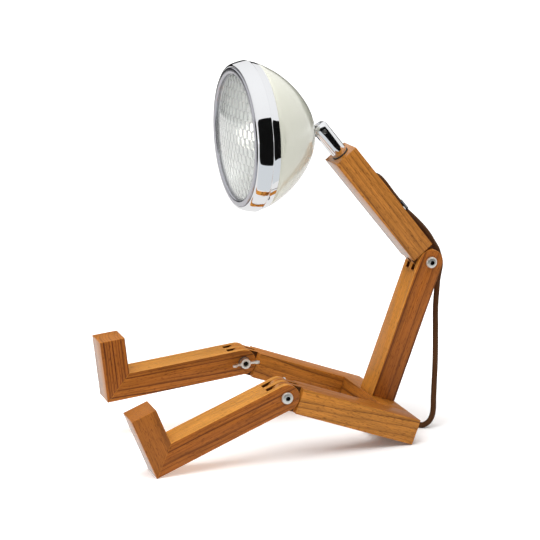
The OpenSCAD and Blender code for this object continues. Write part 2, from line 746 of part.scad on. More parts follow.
module thigh_left() color(wood) thigh(1);
module thigh_right() color(wood) thigh(-1);
module pelvis_dowel_left() color(wood_end) seat_frame() pelvis_dowel(1, dowel_d);
module pelvis_dowel_right() color(wood_end) seat_frame() pelvis_dowel(-1, dowel_d);
module hip_dowel_left() color(wood_end) seat_frame() hip_dowel(1, dowel_d);
module hip_dowel_right() color(wood_end) seat_frame() hip_dowel(-1, dowel_d);
module shin_left() color(wood) left_shin_frame() shin();
module shin_right() color(wood) right_shin_frame() shin();
module foot_left() color(wood) left_shin_frame() foot();
module foot_right() color(wood) right_shin_frame() foot();
module foot_dowel_left() color(wood_end) left_shin_frame() mitre_dowel(dowel_d);
module foot_dowel_right() color(wood_end) right_shin_frame() mitre_dowel(dowel_d);
module bolt_knee_left() color(steel) left_shin_frame() bolt();
module bolt_knee_right() color(steel) right_shin_frame() mirror([1, 0, 0]) bolt();
module bolt_waist() color(steel) waist_frame() bolt();
module washer_knee_left() color(steel) left_shin_frame() washer();
module washer_knee_right() color(steel) right_shin_frame() mirror([1, 0, 0]) washer();
module washer_waist() color(steel) waist_frame() washer();
module wingnut_knee_left() color(steel) left_shin_frame() wingnut(80);
module wingnut_knee_right() color(steel) right_shin_frame() mirror([1, 0, 0]) wingnut(92);
module wingnut_waist() color(steel) waist_frame() wingnut(20);
module clip_screw_left() clip_screw(1);
module clip_screw_right() clip_screw(-1);

pelvis_block();
thigh_left();
thigh_right();
pelvis_dowel_left();
pelvis_dowel_right();
torso_lower();
hip_dowel_left();
hip_dowel_right();
torso_upper();
shin_left();
foot_left();
foot_dowel_left();
shin_right();
foot_right();
foot_dowel_right();
bolt_knee_left();
washer_knee_left();
wingnut_knee_left();
bolt_knee_right();
washer_knee_right();
wingnut_knee_right();
bolt_waist();
washer_waist();
wingnut_waist();
neck_washer();
neck_tube();
neck_nipple();
knuckle_pin();
tongue();
tongue_nut();
shell();
bezel();
lens_ring();
lens();
gasket();
reflector();
lampholder();
bulb();
cord_grommet();
cord_clip();
clip_screw_left();
clip_screw_right();
cord_upper();
cord_lower();
cord_lead();
cord_coil();
cord_tail();
plug_body();
plug_pins();
switch_body();
switch_rocker();
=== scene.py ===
"""Looks of the robot shaped desk lamp: oiled wood, chrome, ivory enamel, pressed glass and a textile cord."""

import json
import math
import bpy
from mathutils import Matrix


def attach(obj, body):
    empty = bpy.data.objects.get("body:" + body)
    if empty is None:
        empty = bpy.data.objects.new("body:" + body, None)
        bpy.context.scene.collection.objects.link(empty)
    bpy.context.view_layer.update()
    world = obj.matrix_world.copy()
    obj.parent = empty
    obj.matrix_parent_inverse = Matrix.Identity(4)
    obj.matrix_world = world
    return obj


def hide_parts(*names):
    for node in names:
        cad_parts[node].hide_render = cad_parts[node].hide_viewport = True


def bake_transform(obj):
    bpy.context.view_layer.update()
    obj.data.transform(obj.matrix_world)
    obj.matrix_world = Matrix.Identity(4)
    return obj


bl_info = {
    "name": "Robot desk lamp",
    "version": (1, 0, 0),
    "blender": (4, 5, 0),
    "location": "View3D > Sidebar > Lamp",
    "description": "Dresses the packed desk lamp with detailed pieces and materials",
    "category": "Object",
}

import bpy
import numpy as np
from bpy.props import FloatProperty, FloatVectorProperty, PointerProperty
from bpy.types import Operator, Panel, PropertyGroup
from mathutils import Matrix, Vector

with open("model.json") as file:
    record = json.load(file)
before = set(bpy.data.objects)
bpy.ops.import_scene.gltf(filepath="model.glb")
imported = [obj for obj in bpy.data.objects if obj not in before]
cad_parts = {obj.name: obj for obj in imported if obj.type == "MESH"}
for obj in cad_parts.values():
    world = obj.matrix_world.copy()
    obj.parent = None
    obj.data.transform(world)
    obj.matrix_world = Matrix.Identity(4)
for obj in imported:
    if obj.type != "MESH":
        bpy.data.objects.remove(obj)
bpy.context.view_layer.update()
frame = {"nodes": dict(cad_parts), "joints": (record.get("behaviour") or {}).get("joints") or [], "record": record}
NODES = frame["nodes"]
BODY_OF = {n: b for b, ns in frame["record"]["behaviour"]["bodies"].items() for n in ns}
JOINT = {j["name"]: Vector(j["pos_m"]) for j in frame["joints"]}

MM = 0.001

# Pose of the limbs, as in the source of the part, in degrees
SEAT_TILT = 21.2
LEAN = 38.0
LEFT_DROP = 20.96
RIGHT_DROP = 5.1

# Y of the edge that the seat rests on, in mm
SEAT_Y = 109.146

# Head, in mm: depths are measured behind the front of its lip
LIP_AT = 89.1
HEAD_L = 78.5
BEZEL_L = 23.1
RIM_R = 68.7
GLASS_R = 60.3
GLASS_SEAT = 3.0
GLASS_EDGE_R = 63.0
GLASS_EDGE_T = 3.2
GLASS_RISE = 6.5
GLASS_T = 2.6
FLUTE_W = 9.0
FLUTE_ROW = 8.2
FLUTE_H = 1.6
SHELL_FRONT = 9.4
SHELL_T = 1.0
TURNED_STEPS = 192

CORD_D = 5.6

# Angles in degrees up to which faces count as one and from which an edge is eased
FLAT_ANGLE = 1.0
SHARP_ANGLE = 40

# ---------------------------------------------------------------- helpers


def sin_deg(angle):
    return math.sin(math.radians(angle))


def cos_deg(angle):
    return math.cos(math.radians(angle))


def deselect():
    if bpy.context.object and bpy.context.object.mode != "OBJECT":
        bpy.ops.object.mode_set(mode="OBJECT")
    bpy.ops.object.select_all(action="DESELECT")


def activate(obj):
    deselect()
    obj.select_set(True)
    bpy.context.view_layer.objects.active = obj


def apply_modifier(obj, kind, **settings):
    activate(obj)
    modifier = obj.modifiers.new(kind.title(), kind)
    for key, value in settings.items():
        setattr(modifier, key, value)
    bpy.ops.object.modifier_apply(modifier=modifier.name)


def edit(obj, *steps):
    """Runs edit-mode operators on the whole mesh."""
    activate(obj)
    bpy.ops.object.mode_set(mode="EDIT")
    bpy.ops.mesh.select_all(action="SELECT")
    for step in steps:
        step()
    bpy.ops.object.mode_set(mode="OBJECT")


def smooth(obj, angle=32):
    activate(obj)
    bpy.ops.object.shade_smooth_by_angle(angle=math.radians(angle))


def settle(obj, material, node):
    """Gives a finished piece its material, slot and body, and hides the solid that it stands for."""
    activate(obj)
    bpy.ops.object.transform_apply(location=True, rotation=True, scale=True)
    obj.data.materials.clear()
    obj.data.materials.append(material)
    for polygon in obj.data.polygons:
        polygon.material_index = 0
    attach(obj, BODY_OF[node])
    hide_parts(node)


def paint(node, material):
    """Gives a CAD solid that stays as it is a material."""
    mesh = NODES[node].data
    mesh.materials.clear()
    mesh.materials.append(material)


def eased_copy(node, bevel, segments=2):
    """Copy of a CAD solid with its corners merged, its flat faces joined and its sharp edges eased."""
    obj = bpy.data.objects.new(node + "_eased", NODES[node].data.copy())
    bpy.context.scene.collection.objects.link(obj)
    activate(obj)
    bpy.ops.mesh.customdata_custom_splitnormals_clear()
    edit(
        obj,
        lambda: bpy.ops.mesh.remove_doubles(threshold=1e-5),
        lambda: bpy.ops.mesh.dissolve_limited(angle_limit=math.radians(FLAT_ANGLE)),
    )
    limit = {"limit_method": "ANGLE", "angle_limit": math.radians(SHARP_ANGLE)}
    apply_modifier(obj, "BEVEL", width=bevel, segments=segments, miter_outer="MITER_ARC", **limit)
    smooth(obj)
    return obj


def turned(name, profile, steps=TURNED_STEPS):
    """Ring turned from a closed outline of (radius, depth behind the lip), in mm, about the head's axis."""
    deselect()
    bpy.ops.mesh.primitive_circle_add(vertices=len(profile), radius=1, location=(0, 0, 0))
    obj = bpy.context.object
    obj.name = name
    for vertex, (radius, depth) in zip(obj.data.vertices, profile):
        vertex.co = (radius * MM, 0, depth * MM)
    merge = {"use_merge_vertices": True, "merge_threshold": 1e-6}
    apply_modifier(obj, "SCREW", axis="Z", steps=steps, render_steps=steps, **merge)
    edit(
        obj,
        lambda: bpy.ops.mesh.remove_doubles(threshold=1e-6),
        lambda: bpy.ops.mesh.normals_make_consistent(inside=False),
    )
    smooth(obj, 28)
    obj.data.transform(head_matrix())
    return obj


def head_matrix():
    """Takes (x, y, depth) of the turned outlines to the lamp's frame."""
    pin = JOINT["head_tilt"]
    return Matrix.Translation((0, pin.y - LIP_AT * MM, pin.z)) @ Matrix.Rotation(math.radians(-90), 4, "X")


def arc(cx, cy, radius, start, end, steps):
    """Points of an arc about (cx, cy), with its angles in degrees."""
    angles = [start + (end - start) * i / steps for i in range(steps + 1)]
    return [(cx + radius * cos_deg(angle), cy + radius * sin_deg(angle)) for angle in angles]


# ---------------------------------------------------------------- shader helpers


def add(tree, kind, inputs=None, **settings):
    made = tree.nodes.new(kind)
    for key, value in settings.items():
        setattr(made, key, value)
    for key, value in (inputs or {}).items():
        if isinstance(value, bpy.types.NodeSocket):
            tree.links.new(value, made.inputs[key])
        else:
            made.inputs[key].default_value = value
    return made


def calc(tree, operation, a, b=0.0, clamp=False):
    return add(tree, "ShaderNodeMath", {0: a, 1: b}, operation=operation, use_clamp=clamp).outputs[0]


def plus(tree, a, b, clamp=False):
    return calc(tree, "ADD", a, b, clamp=clamp)


def minus(tree, a, b):
    return calc(tree, "SUBTRACT", a, b)


def times(tree, a, b):
    return calc(tree, "MULTIPLY", a, b)


def tint(colour, gain=1.0):
    """RGBA of a colour made lighter or darker by a gain."""
    return (*(min(1, gain * c) for c in colour[:3]), 1)


def mixed(tree, factor, a, b, blend="MIX"):
    made = add(tree, "ShaderNodeMix", {0: factor, 6: a, 7: b}, data_type="RGBA", blend_type=blend)
    return made.outputs[2]


def noise(tree, vector, scale, detail=2.0, roughness=0.5):
    inputs = {"Vector": vector, "Scale": scale, "Detail": detail, "Roughness": roughness}
    return add(tree, "ShaderNodeTexNoise", inputs, noise_dimensions="3D").outputs[0]


def ramp(tree, factor, stops):
    """Smooth curve through (position, grey) stops."""
    made = add(tree, "ShaderNodeValToRGB", {0: factor})
    band = made.color_ramp
    band.interpolation = "EASE"
    while len(band.elements) < len(stops):
        band.elements.new(0.5)
    for element, (position, grey) in zip(band.elements, stops):
        element.position = position
        element.color = (grey, grey, grey, 1)
    return made.outputs[0]


def new_group(name, inputs, outputs):
    """Empty node group with its named sockets; returns the group, its inputs and its output node."""
    group = bpy.data.node_groups.new(name, "ShaderNodeTree")
    for label, kind, value in inputs:
        socket = group.interface.new_socket(label, in_out="INPUT", socket_type=kind)
        if value is not None:
            socket.default_value = value
    for label, kind in outputs:
        group.interface.new_socket(label, in_out="OUTPUT", socket_type=kind)
    return group, add(group, "NodeGroupInput").outputs, add(group, "NodeGroupOutput").inputs


def use_group(tree, name, inputs):
    return add(tree, "ShaderNodeGroup", inputs, node_tree=bpy.data.node_groups[name]).outputs


def new_material(name, **values):
    """Material with only its Principled shader; returns material, tree and shader."""
    material = bpy.data.materials.new(name)
    material.use_nodes = True
    tree = material.node_tree
    shader = tree.nodes["Principled BSDF"]
    for key, value in values.items():
        shader.inputs[key.replace("_", " ")].default_value = value
    return material, tree, shader


def feed(tree, shader, **links):
    """Links sockets to the shader's inputs, named with _ for a space."""
    for key, socket in links.items():
        tree.links.new(socket, shader.inputs[key.replace("_", " ")])


def bump(tree, shader, height, strength, distance):
    made = add(tree, "ShaderNodeBump", {"Height": height, "Strength": strength, "Distance": distance})
    tree.links.new(made.outputs[0], shader.inputs["Normal"])


def scaled(tree, vector, scale):
    return add(tree, "ShaderNodeVectorMath", {0: vector, 1: scale}, operation="MULTIPLY").outputs[0]


def build_groups():
    """Timber, Braid and Handled: the effects that several materials share."""
    value, vector = "NodeSocketFloat", "NodeSocketVector"

    # Growth rings about a pith below the piece, fibres and pores along its Y
    g, i, o = new_group(
        "Timber",
        [("Vector", vector, None), ("Spacing", value, 0.006), ("Pith X", value, 0.01), ("Pith Z", value, -0.05),
         ("Slope", value, 0.05), ("Warp", value, 0.012), ("Bold", value, 0.2), ("Seed", value, 0.0)],
        [("Lines", value), ("Tone", value), ("Fibre", value), ("Pores", value)],
    )
    seeded = add(g, "ShaderNodeCombineXYZ", {0: i["Seed"], 1: i["Seed"], 2: i["Seed"]}).outputs[0]
    place = add(g, "ShaderNodeVectorMath", {0: i["Vector"], 1: seeded}, operation="ADD").outputs[0]
    parts = add(g, "ShaderNodeSeparateXYZ", {0: i["Vector"]}).outputs
    dx = minus(g, parts[0], i["Pith X"])
    dz = minus(g, parts[2], i["Pith Z"])
    radius = calc(g, "SQRT", plus(g, times(g, dx, dx), times(g, dz, dz)))
    slow = noise(g, scaled(g, place, (1, 0.35, 1)), 16, 1.5)
    fine = noise(g, scaled(g, place, (1, 0.22, 1)), 90, 2)
    radius = plus(g, radius, times(g, parts[1], i["Slope"]))
    radius = plus(g, radius, times(g, minus(g, slow, 0.5), i["Warp"]))
    radius = plus(g, radius, times(g, minus(g, fine, 0.5), 0.0016))
    rings = calc(g, "DIVIDE", radius, i["Spacing"])
    uneven = add(g, "ShaderNodeCombineXYZ", {0: rings, 1: i["Seed"]}).outputs[0]
    rings = plus(g, rings, times(g, noise(g, uneven, 0.9, 1), 1.6))
    wave = calc(g, "FRACT", rings)
    lines = ramp(g, wave, [(0, 0.1), (0.1, 0.0), (0.55, 0.08), (0.8, 0.4), (0.92, 1.0), (1.0, 0.25)])
    which = add(g, "ShaderNodeCombineXYZ", {0: calc(g, "FLOOR", rings), 1: i["Seed"]}).outputs[0]
    chosen = ramp(g, noise(g, which, 3.1, 0), [(0.35, 0.45), (0.65, 1.0)])
    worn = ramp(g, noise(g, scaled(g, place, (1, 0.12, 1)), 60, 2), [(0.3, 0.55), (0.62, 1.0)])
    strength = times(g, chosen, worn)
    soft = times(g, ramp(g, wave, [(0.45, 0.0), (0.85, 1.0), (1.0, 0.1)]), i["Bold"])
    g.links.new(times(g, calc(g, "MAXIMUM", lines, soft), strength), o["Lines"])
    g.links.new(noise(g, scaled(g, place, (1, 0.2, 1)), 26, 3), o["Tone"])
    g.links.new(noise(g, scaled(g, place, (1, 0.035, 1)), 900, 3, 0.6), o["Fibre"])
    dashes = noise(g, scaled(g, place, (1, 0.14, 1)), 1500, 1)
    g.links.new(ramp(g, dashes, [(0.58, 0.0), (0.7, 1.0)]), o["Pores"])

    # Diagonal braid on UV (metres round and along)
    g, i, o = new_group(
        "Braid",
        [("Vector", vector, None), ("Pitch", value, 0.0016)],
        [("Thread", value)],
    )
    parts = add(g, "ShaderNodeSeparateXYZ", {0: i["Vector"]}).outputs
    u = calc(g, "DIVIDE", parts[0], i["Pitch"])
    v = calc(g, "DIVIDE", parts[1], i["Pitch"])
    one = calc(g, "ABSOLUTE", calc(g, "SINE", times(g, plus(g, u, v), math.pi)))
    two = calc(g, "ABSOLUTE", calc(g, "SINE", times(g, minus(g, u, v), math.pi)))
    picks = plus(g, u, times(g, v, 2.0))
    over = calc(g, "GREATER_THAN", calc(g, "SINE", times(g, picks, math.pi)), 0.0)
    thread = add(g, "ShaderNodeMix", {0: over, 2: one, 3: two}, data_type="FLOAT").outputs[0]
    g.links.new(thread, o["Thread"])

    # Fine smudges and dust that make a surface look handled
    g, i, o = new_group(
        "Handled",
        [("Vector", vector, None), ("Size", value, 40.0)],
        [("Smudge", value), ("Dust", value)],
    )
    g.links.new(noise(g, i["Vector"], i["Size"], 4, 0.6), o["Smudge"])
    g.links.new(ramp(g, noise(g, i["Vector"], 2600, 1), [(0.62, 0.0), (0.72, 1.0)]), o["Dust"])


def object_coords(tree, centre=None, axes=None):
    """Object coordinates, turned so that Y runs along the piece where axes are given."""
    coords = add(tree, "ShaderNodeTexCoord").outputs["Object"]
    if axes is None:
        return coords
    turn = Matrix(axes).transposed().to_euler()
    mapping = add(tree, "ShaderNodeMapping", {"Vector": coords}, vector_type="TEXTURE")
    mapping.inputs["Location"].default_value = centre
    mapping.inputs["Rotation"].default_value = turn
    return mapping.outputs[0]


def wood_material(name, centre, axes, tones, grain):
    """Oiled timber: tones are (top, side, line) colours, where the lighter top colour is partly flat grain and
    partly painted light from above, grain the values of the Timber group.
    """
    material, tree, shader = new_material(name, Specular_IOR_Level=0.14, Coat_Roughness=0.2)
    top, side, dark = [tint(tone) for tone in tones]
    timber = use_group(tree, "Timber", {"Vector": object_coords(tree, centre, axes), **grain})
    marks = add(tree, "ShaderNodeAttribute", attribute_name="wood_face").outputs
    top_grain_and_light, slot_shade, arris = add(tree, "ShaderNodeSeparateColor", {0: marks["Color"]}).outputs
    feed(tree, shader, Coat_Weight=marks["Alpha"])

    # Top faces take the golden colour: partly flat grain, partly painted light from above
    base = mixed(tree, top_grain_and_light, side, top)
    patches = times(tree, ramp(tree, timber["Tone"], [(0.35, 0.0), (0.7, 0.5)]), minus(tree, 1.0, top_grain_and_light))
    base = mixed(tree, patches, base, tint(side, 1.22))
    shown = times(tree, timber["Lines"], minus(tree, 1.0, times(tree, top_grain_and_light, 0.8)))
    base = mixed(tree, shown, base, dark)
    base = mixed(tree, 1.0, base, ramp(tree, timber["Fibre"], [(0.25, 0.72), (0.75, 1.16)]), "MULTIPLY")
    base = mixed(tree, times(tree, timber["Pores"], 0.55), base, dark)
    # Painted highlight along the eased edges
    base = mixed(tree, times(tree, arris, 0.18), base, tint(top, 1.5))
    # Painted shade in the slots of the fingers
    base = mixed(tree, times(tree, slot_shade, 0.85), base, tint(dark, 0.3))
    feed(tree, shader, Base_Color=base, Roughness=plus(tree, 0.3, times(tree, timber["Fibre"], 0.2)))
    bump(tree, shader, minus(tree, timber["Fibre"], times(tree, timber["Pores"], 1.5)), 0.22, 0.00012)
    return material


def metal_material(name, colour, roughness, smudge=0.03):
    material, tree, shader = new_material(name, Metallic=1.0, Roughness=roughness, Base_Color=tint(colour))
    handled = use_group(tree, "Handled", {"Vector": object_coords(tree), "Size": 55.0})
    spread = times(tree, minus(tree, handled["Smudge"], 0.5), 2 * smudge)
    uneven = plus(tree, spread, times(tree, handled["Dust"], smudge))
    feed(tree, shader, Roughness=plus(tree, roughness, uneven, clamp=True))
    return material


def coated_material(name, colour, roughness, coat, grain=0.0):
    """Enamel, plastic, rubber or ceramic: a plain body colour with slight mottling."""
    material, tree, shader = new_material(name, Roughness=roughness, Coat_Weight=coat, Coat_Roughness=0.05)
    place = object_coords(tree)
    handled = use_group(tree, "Handled", {"Vector": place, "Size": 30.0})
    feed(tree, shader, Base_Color=mixed(tree, handled["Smudge"], tint(colour, 0.93), tint(colour)))
    feed(tree, shader, Roughness=plus(tree, roughness - 0.03, times(tree, handled["Smudge"], 0.06)))
    if grain:
        bump(tree, shader, noise(tree, place, 2400, 2), grain, 0.0001)
    return material


# ---------------------------------------------------------------- properties


def colour_property(name, description, default):
    text = {"name": name, "description": description}
    return FloatVectorProperty(**text, default=default, subtype="COLOR", min=0, max=1)


def length_property(name, description, default, low, high):
    text = {"name": name, "description": description}
    return FloatProperty(**text, default=default, unit="LENGTH", min=low, max=high)


class LampWood(PropertyGroup):
    arris: length_property("Arris", "Width of the eased edges of the wood", 0.5 * MM, 0.0002, 0.002)
    # The golden top faces are partly flat grain and partly painted light from above
    golden: colour_property("Golden wood", "Colour of the flat grain on top faces", (0.54, 0.225, 0.034))
    russet: colour_property("Russet wood", "Colour of the side faces", (0.325, 0.096, 0.011))
    dark: colour_property("Dark lines", "Colour of the growth rings and pores", (0.065, 0.015, 0.003))


class LampMetal(PropertyGroup):
    chrome: colour_property("Chrome", "Colour of the plated metal", (0.90, 0.91, 0.93))
    steel: colour_property("Steel", "Colour of bolts, wing nuts and screws", (0.9, 0.88, 0.82))
    chrome_roughness: FloatProperty(
        name="Chrome roughness", description="Blur of the chrome", default=0.035, min=0, max=1
    )


class LampHead(PropertyGroup):
    enamel: colour_property("Enamel", "Colour of the shell", (0.55, 0.55, 0.47))
    glass: colour_property("Glass", "Tint of the pressed glass", (0.95, 0.97, 0.955))
    flute: length_property("Flute height", "How far the flutes of the glass stand out", FLUTE_H * MM, 0, 0.003)


class LampCord(PropertyGroup):
    diameter: length_property("Diameter", "Diameter of the cord", CORD_D * MM, 0.003, 0.01)
    thread: colour_property("Thread", "Colour of the textile threads", (0.105, 0.042, 0.015))
    gap: colour_property("Gaps", "Colour between the threads", (0.025, 0.01, 0.004))


class LampStage(PropertyGroup):
    floor: colour_property("Floor", "Colour of the floor", (0.98, 0.98, 0.98))
    key: FloatProperty(
        name="Key light", description="Power of the overhead softbox", default=26.0, unit="POWER", min=0
    )
    dome: FloatProperty(name="Dome", description="Strength of the surrounding light", default=0.5, min=0)


# ---------------------------------------------------------------- camera


CAMERA_AT = (1.74467, -0.70734 + SEAT_Y * MM, 0.6184)
AZIMUTH, ELEVATION, ROLL = 71.24, 13.73, -1.2
LENS_MM = 130.31


class LAMP_OT_camera(Operator):
    """Puts the camera in front of the lamp's left side"""

    bl_idname = "lamp.camera"
    bl_label = "Camera"

    def execute(self, context):
        level = cos_deg(ELEVATION)
        back = Vector((sin_deg(AZIMUTH) * level, -cos_deg(AZIMUTH) * level, sin_deg(ELEVATION)))
        right = Vector((cos_deg(AZIMUTH), sin_deg(AZIMUTH), 0))
        up = back.cross(right)
        side = cos_deg(ROLL) * right + sin_deg(ROLL) * up
        top = cos_deg(ROLL) * up - sin_deg(ROLL) * right
        deselect()
        bpy.ops.object.camera_add(location=CAMERA_AT)
        camera = context.object
        camera.name = "Camera"
        camera.rotation_mode = "QUATERNION"
        camera.rotation_quaternion = Matrix((side, top, back)).transposed().to_quaternion()
        camera.data.sensor_width = 36
        camera.data.lens = LENS_MM
        camera.data.clip_end = 60
        context.scene.camera = camera
        return {"FINISHED"}


# ---------------------------------------------------------------- cord

# Middle of the coil behind the seat and the radii of its turns, in mm
COIL = (-121.5, -24.0)
COIL_RADII = (37.6, 32.0, 26.4)
COIL_TURNS = 6
TURN_STEPS = 20
# Share of a turn in which the cord crosses over to the next one, and the angle at which the coil begins
CROSS = 0.12
LEAVE_ANGLE = 163.6
# Threads round the cord
THREADS = 11


def from_body(x, behind, up):
    """Place behind and along the upper body from the waist, in mm."""
    waist = JOINT["waist"] / MM
    y = waist.y + behind * cos_deg(LEAN) - up * sin_deg(LEAN)
    return x, y, waist.z + behind * sin_deg(LEAN) + up * cos_deg(LEAN)


def from_seat(x, behind, up):
    """Place behind the seat and above the floor, in mm."""
    return x, SEAT_Y + behind, up


# Lines of the cord in mm: along the upper body, down to the switch, to the coil, and from the coil to the plug
BACK_ROUTE = [
    (0, 12.7, 104), (0, 15.1, 99), (0, 15.9, 92), (0, 15.8, 84), (0, 15.5, 76), (0, 15.5, 65), (0, 15.5, 53),
    (0, 16.6, 45), (0, 17.7, 36), (-0.5, 18.5, 26), (-1, 18.4, 16), (-1.5, 17.5, 8),
]
FLOOR_ROUTE = [
    (-3.5, 62.4, 173), (-4.5, 65, 167), (-5, 67.1, 160), (-5, 67.3, 153.5), (-5, 66, 147), (-4.5, 64.5, 140),
    (-4, 63.4, 132), (-2, 61.4, 120), (0, 60, 108), (5, 57.8, 92), (11, 55.1, 76), (18, 51.7, 60), (25, 47.7, 44),
    (31.5, 44, 29), (35.5, 42, 19), (37.5, 39.5, 11.5), (37.8, 35.5, 6), (35.5, 30, 2.8), (30, 23, 2.8),
    (21, 18.4, 2.8), (10, 16.6, 2.8), (-4, 16.4, 2.8), (-16, 16.5, 3.4), (-26, 16.5, 5.6), (-32, 16.5, 6.5),
]
LEAD_ROUTE = [
    (-90, 16.5, 6.5), (-96, 16.8, 4.6), (-102, 17.2, 3.1), (-108, 17.6, 2.8), (-115, 18.8, 2.8),
    (-121.5, 19.2, 2.8), (-129, 18.6, 2.8), (-136.5, 16.6, 2.8), (-143.1, 13.4, 2.8), (-147.6, 9.3, 2.8),
    (-151.3, 4.8, 2.8),
]
TAIL_ROUTE = [
    (-158.4, -19, 9.8), (-156.6, -29, 12), (-151.5, -36.6, 14), (-144.2, -41.6, 16.2), (-135.1, -43.4, 18),
]


def ease(t):
    """0 below 0, 1 above 1, and a smooth step between."""
    t = min(max(t, 0), 1)
    return t * t * (3 - 2 * t)


def coil_route():
    """Six turns: three beside each other on the ground going inwards, three on top coming out again."""
    radii = COIL_RADII + COIL_RADII[::-1]
    points = []
    for step in range(1, COIL_TURNS * TURN_STEPS + 1):
        t = step / TURN_STEPS
        turn = min(int(t), COIL_TURNS - 1)
        here, after = radii[turn], radii[min(turn + 1, COIL_TURNS - 1)]
        radius = here + (after - here) * ease((t - turn - (1 - CROSS)) / CROSS)
        height = CORD_D / 2 + CORD_D * ease((t - 3.02) / CROSS)
        angle = LEAVE_ANGLE + 360 * t
        points.append((COIL[0] + radius * cos_deg(angle), COIL[1] + radius * sin_deg(angle), height))
    return points


def spline(points, steps):
    """Smooth line through the points, in metres."""
    p = np.array(points, float) * MM
    p = np.vstack([2 * p[0] - p[1], p, 2 * p[-1] - p[-2]])
    line = []
    for k in range(1, len(p) - 2):
        a, b, c, d = p[k - 1 : k + 3]
        for s in range(steps):
            t = s / steps
            square, cube = (2 * a - 5 * b + 4 * c - d) * t * t, (3 * b - a - 3 * c + d) * t ** 3
            line.append(0.5 * (2 * b + (c - a) * t + square + cube))
    line.append(p[-2])
    return np.array(line)


def sweep(name, line, radius, sides=16):
    """Closed tube along a line, with UV in metres round and along it."""
    tangent = np.gradient(line, axis=0)
    tangent /= np.linalg.norm(tangent, axis=1)[:, None]
    normal = np.cross(tangent[0], (1.0, 0.0, 0.0) if abs(tangent[0][0]) < 0.9 else (0.0, 0.0, 1.0))
    along = np.concatenate([[0], np.cumsum(np.linalg.norm(np.diff(line, axis=0), axis=1))])
    verts = []
    for centre, t in zip(line, tangent):
        normal = normal - t * (normal @ t)
        normal /= np.linalg.norm(normal)
        other = np.cross(t, normal)
        for s in range(sides):
            a = 2 * math.pi * s / sides
            verts.append(centre + radius * (math.cos(a) * normal + math.sin(a) * other))
    faces = [list(range(sides))[::-1], [(len(line) - 1) * sides + s for s in range(sides)]]
    uvs = [[(0, 0)] * sides] * 2
    around = 2 * math.pi * radius
    for k in range(len(line) - 1):
        for s in range(sides):
            n = (s + 1) % sides
            faces.append([k * sides + s, k * sides + n, (k + 1) * sides + n, (k + 1) * sides + s])
            u0, u1 = around * s / sides, around * (s + 1) / sides
            uvs.append([(u0, along[k]), (u1, along[k]), (u1, along[k + 1]), (u0, along[k + 1])])
    mesh = bpy.data.meshes.new(name)
    mesh.from_pydata([tuple(v) for v in verts], [], faces)
    layer = mesh.uv_layers.new(name="UVMap")
    layer.data.foreach_set("uv", [c for face in uvs for uv in face for c in uv])
    mesh.validate()
    obj = bpy.data.objects.new(name, mesh)
    bpy.context.scene.collection.objects.link(obj)
    smooth(obj, 60)
    return obj, float(along[-1])


class LAMP_OT_cord(Operator):
    """Makes the textile cord: from the back over the joint to the switch, and from there to the plug"""

    bl_idname = "lamp.cord"
    bl_label = "Cord"

    def execute(self, context):
        sizes = context.scene.lamp_cord
        material, tree, shader = new_material("textile_braid", Roughness=0.85, Specular_IOR_Level=0.1)
        uv = add(tree, "ShaderNodeTexCoord").outputs["UV"]
        braid = use_group(tree, "Braid", {"Vector": uv, "Pitch": math.pi * sizes.diameter / THREADS})
        fuzz = noise(tree, object_coords(tree), 2200, 2)
        thread = mixed(tree, times(tree, fuzz, 0.8), tint(sizes.thread), tint(sizes.thread, 0.55))
        raised = ramp(tree, braid["Thread"], [(0.05, 0.0), (0.45, 1.0)])
        feed(tree, shader, Base_Color=mixed(tree, raised, tint(sizes.gap), thread))
        bump(tree, shader, plus(tree, braid["Thread"], times(tree, fuzz, 0.3)), 0.7, 0.0003)

        radius = sizes.diameter / 2
        first = spline([from_body(*p) for p in BACK_ROUTE] + [from_seat(*p) for p in FLOOR_ROUTE], 5)
        second = spline([from_seat(*p) for p in LEAD_ROUTE + coil_route() + TAIL_ROUTE], 3)
        for line in (first, second):
            line[:, 2] = np.maximum(line[:, 2], radius)
        upper, upper_length = sweep("cord_to_switch", first, radius)
        upper.data.materials.append(material)
        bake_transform(upper)
        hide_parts("cord_upper", "cord_lower")
        lower, lower_length = sweep("cord_to_plug", second, radius, 12)
        lower.data.materials.append(material)
        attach(lower, "base")
        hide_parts("cord_lead", "cord_coil", "cord_tail")
        return {"FINISHED"}


# ---------------------------------------------------------------- wood

# Node, slope of its grain towards the toes in degrees (None: across the lamp), (share of golden, brightness) for
# sides and for top, whose brightness partly paints light and shade on the faces, and its grain as in GRAIN
LIMBS = [
    ("thigh_left", SEAT_TILT, (0.6, 1.0), (0.2, 0.92), (0.0085, -0.06, 0.022, 0.4, 1.3)),
    ("thigh_right", SEAT_TILT, (0.3, 1.1), (0.3, 1.25), (0.0095, 0.03, 0.016, 0.2, 7.1)),
    ("torso_lower", 90 + SEAT_TILT, (0.0, 1.05), (0.7, 1.22), (0.012, 0.01, 0.006, 0.0, 3.7)),
    ("torso_upper", 90 - LEAN, (0.5, 0.93), (0.6, 0.85), (0.006, 0.02, 0.006, 0.0, 4.4)),
    ("shin_left", -LEFT_DROP, (0.0, 0.92), (1.0, 1.03), (0.005, 0.03, 0.014, 0.8, 9.2)),
    ("shin_right", -RIGHT_DROP, (0.1, 1.08), (1.0, 1.0), (0.0042, 0.02, 0.014, 0.9, 6.6)),
    ("foot_left", 90 - LEFT_DROP, (0.1, 0.82), (0.3, 1.05), (0.035, 0.02, 0.012, 0.0, 2.2)),
    ("foot_right", 90 - RIGHT_DROP, (0.0, 1.0), (0.5, 1.1), (0.003, 0.0, 0.003, 1.4, 5.8)),
    ("pelvis_block", None, (0.2, 0.92), (0.3, 0.97), (0.009, 0.03, 0.014, 0.2, 8.3)),
]
GRAIN = ("Spacing", "Slope", "Warp", "Bold", "Seed")

